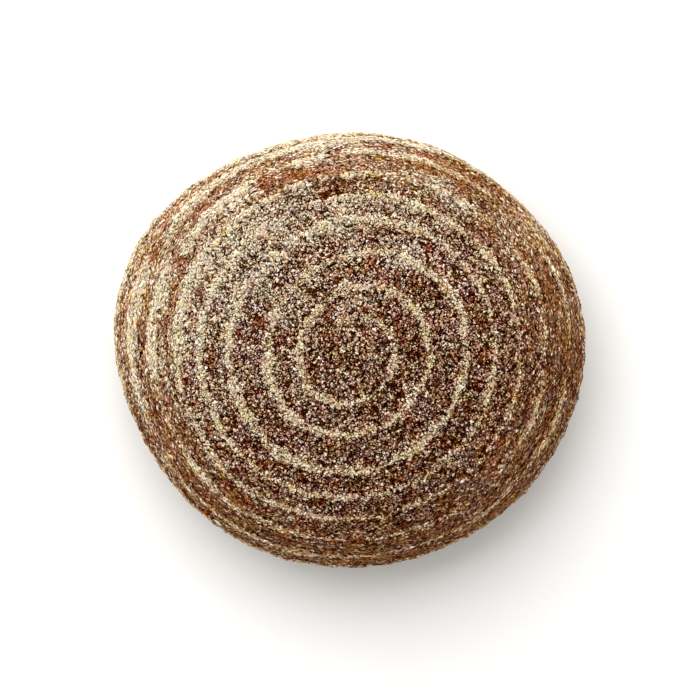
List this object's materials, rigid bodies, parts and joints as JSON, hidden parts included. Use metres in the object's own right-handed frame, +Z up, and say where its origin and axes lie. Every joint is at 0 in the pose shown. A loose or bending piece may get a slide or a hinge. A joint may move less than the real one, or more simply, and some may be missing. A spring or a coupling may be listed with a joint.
{
  "type": "round bread loaf",
  "caption": "Whole round loaf of dark seed-and-nut-flour bread: a low mealy dome with a raised spiral left by a coiled proofing basket, a tucked-in flank and a flat foot to rest on.",
  "frame": {"origin": "middle of the loaf's box at the level of the flat foot", "axes": "+Z up from the foot to the crown, +X along the loaf's longest way, +Y across it"},
  "size_m": [0.18, 0.166, 0.076],
  "materials": {
    "crust": "matte"
  },
  "bodies": {
    "root": {"loaf": "crust"}
  },
  "joints": []
}
